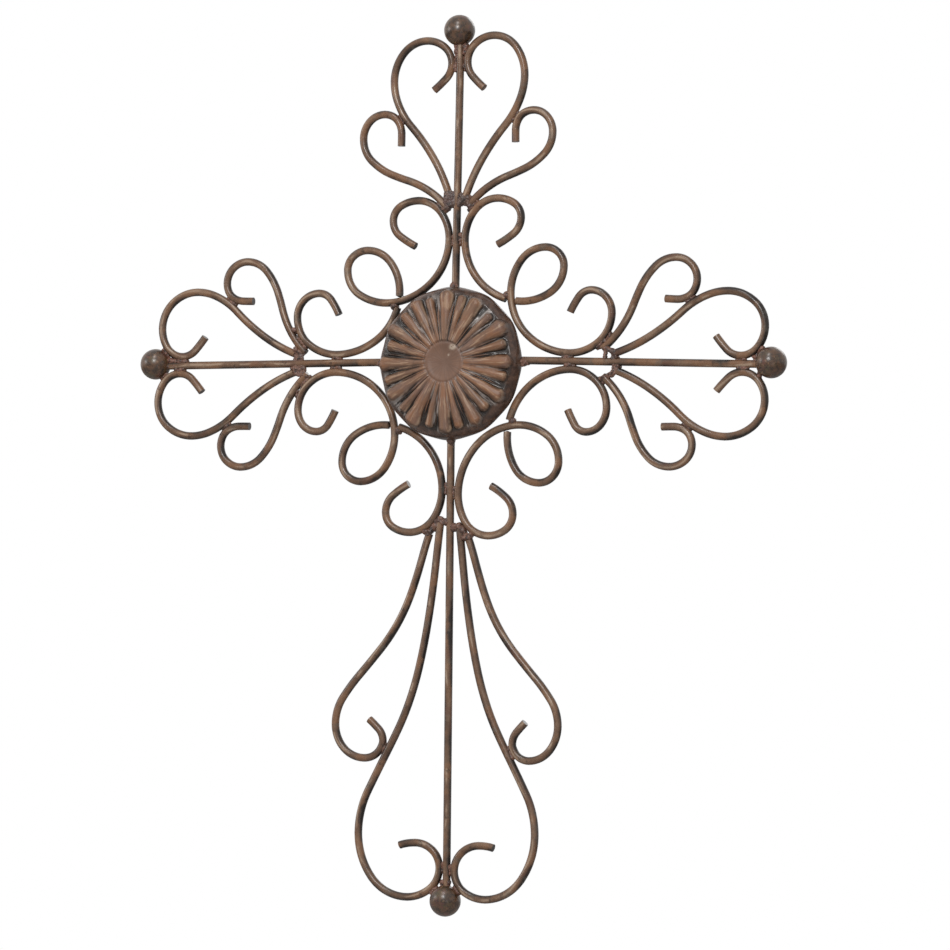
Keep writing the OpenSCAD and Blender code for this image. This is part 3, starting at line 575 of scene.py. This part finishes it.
def touch_places(a, b, reach):
    """Places where a's and b's surfaces come within reach, as [middle, direction, half length]."""
    lo = np.maximum(points[a].min(0), points[b].min(0)) - reach * MM
    hi = np.minimum(points[a].max(0), points[b].max(0)) + reach * MM
    if np.any(lo > hi):
        return []
    found = []
    for one, two in ((a, b), (b, a)):
        in_box = np.all((points[one] >= lo) & (points[one] <= hi), axis=1)
        near = points[one][in_box][::3]
        for p in near:
            hit = trees[two].find_nearest(Vector(p), reach * MM)
            if hit[0] is not None:
                found.append((*((Vector(p) + hit[0]) / 2 / MM), hit[3] / MM))
    if not found:
        return []
    found = np.array(found)
    places = []
    while len(found):
        best = found[found[:, 3].argmin()]
        close = np.linalg.norm(found[:, :3] - best[:3], axis=1) < PLACE_SIZE
        group = found[close]
        group = group[group[:, 3] < best[3] + PLACE_SLACK]
        middle_of = group[:, :3].mean(0)
        if len(group) > 2:
            _, _, axes = np.linalg.svd(group[:, :3] - middle_of)
            axis = axes[0]
            half = np.abs((group[:, :3] - middle_of) @ axis).max()
        else:
            axis, half = np.array([0.0, 0, 1.0]), 0.5
        places.append((middle_of, axis, half))
        found = found[~close]
    return places


# noise_vector starts from the clock unless it has a seed, and each run has to give the same beads
noise.seed_set(7)
lumps = []


def lump(centre, radius):
    """Notes one lump; weld_mesh joins them all."""
    lumps.append((Vector(centre), radius))


def bead(centre, axis, half, radius, wander=0.35):
    """A row of lumps along a crevice, each up to wander off it."""
    axis = Vector(axis).normalized()
    count = max(2, int(half * 2 / (radius * 0.5)) + 1)
    for k in range(count):
        t = -1 + 2 * k / (count - 1)
        p = Vector(centre) + axis * (half * t)
        w = noise.noise_vector(p * 0.6) * wander
        lump(p + Vector((w.x, 0.8 * w.y, w.z)), radius * (0.92 + 0.5 * noise.noise(p * 0.35)))


bars = [n for n in names if n not in ("rosette", "hanging_tab") and not n.startswith("ball_")]
for i, a in enumerate(bars):
    for b in bars[i + 1:]:
        if a.endswith("_rod") and b.endswith("_rod"):
            continue
        for centre, axis, half in touch_places(a, b, BAR_REACH):
            butt = {a.split("_")[0], b.split("_")[0]} == {"loop", "hook"}
            if butt:
                lump(centre, BUTT_RADIUS)
            else:
                beside_rod = a.endswith("_rod") or b.endswith("_rod")
                longest, radius = (ROD_HALF, ROD_BEAD) if beside_rod else (BAR_HALF, BAR_BEAD)
                bead(centre, axis, min(max(half, LEAST_HALF), longest), radius)
for n in names:
    if n.startswith("ball_"):
        for b in bars:
            if not b.endswith("_rod"):
                for centre, axis, _ in touch_places(n, b, BALL_REACH):
                    bead(centre, axis, BALL_HALF, BALL_BEAD)


ros = np.array([ros_x, rim_y, ros_z])
# The weld lies a little in front of the bars' middle
FRONT = np.array([0, -0.8, 0])


def outwards(rod):
    """Direction along a rod, away from the crossing."""
    way = points[rod].mean(0) / MM - ros
    way[1] = 0
    return way / np.linalg.norm(way)


def axis_point(rod, point):
    """The point of a rod's axis beside a point."""
    way = outwards(rod)
    middle_of = points[rod].mean(0) / MM
    return middle_of + way * ((point - middle_of) @ way)


def tail_end(node, rod):
    """A point in the middle of the bar, about a bar's radius short of its end beside the crossing."""
    along = points[node] @ outwards(rod)
    tip = points[node][along.argmin()]
    near = np.linalg.norm(points[node] - tip, axis=1) < 5.2 * MM
    return points[node][near].mean(0) / MM


def fill(a, b, radius):
    """A row of lumps from one point to another."""
    a, b = np.array(a), np.array(b)
    way = b - a
    length = np.linalg.norm(way)
    bead((a + b) / 2, way / max(length, 0.01), length / 2 + 0.3, radius, 0.25)


for arm, rod, sides, size in ARMS:
    way = outwards(rod)
    for side in sides:
        scroll_tail = tail_end("%s_scroll_%s" % (arm, side), rod) + FRONT
        sprig_tail = tail_end("%s_sprig_%s" % (arm, side), rod) + FRONT
        # From the scroll's tail to the sprig's, and across to the rod where that is near
        for share in (0, 0.2, 0.4, 0.6, 0.8, 1):
            place = scroll_tail - way + (sprig_tail + way - scroll_tail) * share
            beside = axis_point(rod, place) + FRONT
            gap = np.linalg.norm((place - beside) * (1, 0, 1))
            forward = 0.9 * noise.noise(Vector(place) * 0.7)
            lump(place + (0, forward, 0), size + 0.9 * noise.noise(Vector(place) * 0.5))
            # The right arm keeps an open place between the two drops of weld
            open_place = arm == "right" and 0.3 < share < 0.7
            if gap < 9 and share < 0.9 and not open_place:
                fill(place, place + (beside - place) * (1 - 2.2 / gap), size - 0.2)
# Collar under each ball, which the curls beside it are joined to
for ball, rod, size, run, out, apart, front in COLLARS:
    way = outwards(rod)
    seat = axis_point(rod, points[ball].mean(0) / MM)
    across = np.array([way[2], 0, -way[0]])
    for s in (-1, 1):
        start = seat - way * out + across * (apart * s) - (0, front, 0)
        fill(start, start - way * run, size)
        if ball == "ball_top":
            # Here a thinner bead runs on down the rod
            fill(start, seat - way * 25 + across * (3.1 * s) - (0, front, 0), 1.5)
# Cones where the rods run in behind the rim
for rod in ("left_rod", "right_rod", "lower_rod", "upper_rod"):
    way = outwards(rod)
    at = axis_point(rod, ros + way * rim_r)
    for step in range(CONE_LUMPS):
        lump(at + way * (1.1 * step - 0.6) + (0, -1.5 + 0.4 * step, 0), 3.0 - 0.3 * step)


def weld_mesh():
    """All lumps as one uneven skin."""
    verts, faces = [], []
    rows, cols = LUMP_ROWS, LUMP_COLUMNS
    for centre, radius in lumps:
        base = len(verts)
        for i in range(rows + 1):
            for j in range(cols):
                th, ph = math.pi * i / rows, 2 * math.pi * j / cols
                d = Vector((math.sin(th) * math.cos(ph), math.cos(th), math.sin(th) * math.sin(ph)))
                verts.append((centre + d * radius) * MM)
        for i in range(rows):
            for j in range(cols):
                n = (j + 1) % cols
                faces.append((base + i * cols + j, base + i * cols + n,
                              base + (i + 1) * cols + n, base + (i + 1) * cols + j))
    mesh = bpy.data.meshes.new("lumps")
    mesh.from_pydata(verts, [], faces)
    obj = add_object("lumps", mesh)
    remesh = obj.modifiers.new("remesh", "REMESH")
    remesh.mode, remesh.voxel_size = "VOXEL", VOXEL * MM
    smooth = obj.modifiers.new("smooth", "SMOOTH")
    smooth.factor, smooth.iterations = 0.5, SMOOTHINGS
    made = bpy.data.meshes.new_from_object(obj.evaluated_get(bpy.context.evaluated_depsgraph_get()))
    bpy.data.objects.remove(obj)
    places = [v.co.copy() for v in made.vertices]
    normals = [v.normal.copy() for v in made.vertices]
    moved = []
    for place, normal in zip(places, normals):
        p = place / MM
        push = 0.55 * noise.noise(p * 0.4) + 0.42 * noise.noise(p * 0.85) + 0.2 * noise.noise(p * 1.7)
        moved.extend(place + normal * (push * MM))
    made.vertices.foreach_set("co", moved)
    # Brown, redder beside the balls, greyer where the top scrolls meet their rod
    centres = [Vector(points[n].mean(0)) for n in names if n.startswith("ball_")]
    tails = [tail_end("top_scroll_%s" % side, "upper_rod") for side in ("left", "right")]
    joint = Vector(tails[0] + tails[1]) / 2 * MM
    red = []
    for place in places:
        near = math.exp(-(min((place - c).length for c in centres) / (22 * MM)) ** 4)
        grey = math.exp(-((place - joint).length / (17 * MM)) ** 4)
        red.append(0.5 + 0.5 * near - 0.5 * grey)
    made.attributes.new("red", "FLOAT", "POINT").data.foreach_set("value", red)
    made.update()
    return made


made = weld_mesh()
welds = add_object("weld_beads", made)
made.materials.clear()
made.materials.append(weld_paint())
made.shade_smooth()
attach(welds, "root")

# ---- CAD nodes keep their shape and get their paint ----
balls = ball_paint()
for i, n in enumerate(names):
    if n == "rosette":
        continue
    o = nodes[n]
    o.data.materials.clear()
    o.data.materials.append(balls if n.startswith("ball_") else bar_paints[i % len(bar_paints)])

# ---- Floor, light and background, in m and W ----
FLOOR_HALF, FLOOR_DROP = 6.0, 0.25
floor_z = cad_lo.z - FLOOR_DROP
corners = [(x * FLOOR_HALF, y * FLOOR_HALF, floor_z) for x, y in ((-1, -1), (1, -1), (1, 1), (-1, 1))]
floor_mesh = bpy.data.meshes.new("floor")
floor_mesh.from_pydata(corners, [], [(0, 1, 2, 3)])
floor = add_object("floor", floor_mesh)
floor_mesh.materials.append(Paint("floor_pale").finish((0.8, 0.8, 0.8, 1), 0.9))


def area(name, where, size, power):
    """A round white light that shines on the part's middle from there."""
    data = bpy.data.lights.new(name, "AREA")
    data.shape, data.size, data.energy = "DISK", size, power
    obj = add_object(name, data)
    obj.location = middle + Vector(where)
    obj.rotation_mode = "QUATERNION"
    obj.rotation_quaternion = (obj.location - middle).to_track_quat("Z", "Y")


area("key", (0.2, -1.95, 0.95), 0.5, 20)
area("top", (0.05, -1.25, 1.8), 0.3, 9)
area("fill", (1.2, -1.65, -0.75), 0.9, 6)
area("side", (-1.9, -1.0, 0.5), 0.6, 6)
area("rear", (0.3, 2.2, 1.4), 1.2, 10)

# The background is white where it is seen, also by reflection, and a dim light otherwise
AMBIENT, BACKDROP = 0.2, 1.0
world = bpy.data.worlds.new("studio")
bpy.context.scene.world = world
world.use_nodes = True
world_nodes, world_links = world.node_tree.nodes, world.node_tree.links
ambient, backdrop = world_nodes["Background"], world_nodes.new("ShaderNodeBackground")
for node, strength in ((ambient, AMBIENT), (backdrop, BACKDROP)):
    node.inputs["Color"].default_value = (1, 1, 1, 1)
    node.inputs["Strength"].default_value = strength
ray_kinds = world_nodes.new("ShaderNodeLightPath").outputs
seen = ray_kinds["Is Camera Ray"]
for kind in ("Is Transmission Ray", "Is Glossy Ray"):
    either = world_nodes.new("ShaderNodeMath")
    either.operation, either.use_clamp = "ADD", True
    world_links.new(seen, either.inputs[0])
    world_links.new(ray_kinds[kind], either.inputs[1])
    seen = either.outputs[0]
blend = world_nodes.new("ShaderNodeMixShader")
for socket, source in zip(blend.inputs, (seen, ambient.outputs[0], backdrop.outputs[0])):
    world_links.new(source, socket)
world_links.new(blend.outputs[0], world_nodes["World Output"].inputs["Surface"])

bpy.context.scene.view_settings.view_transform = "Standard"
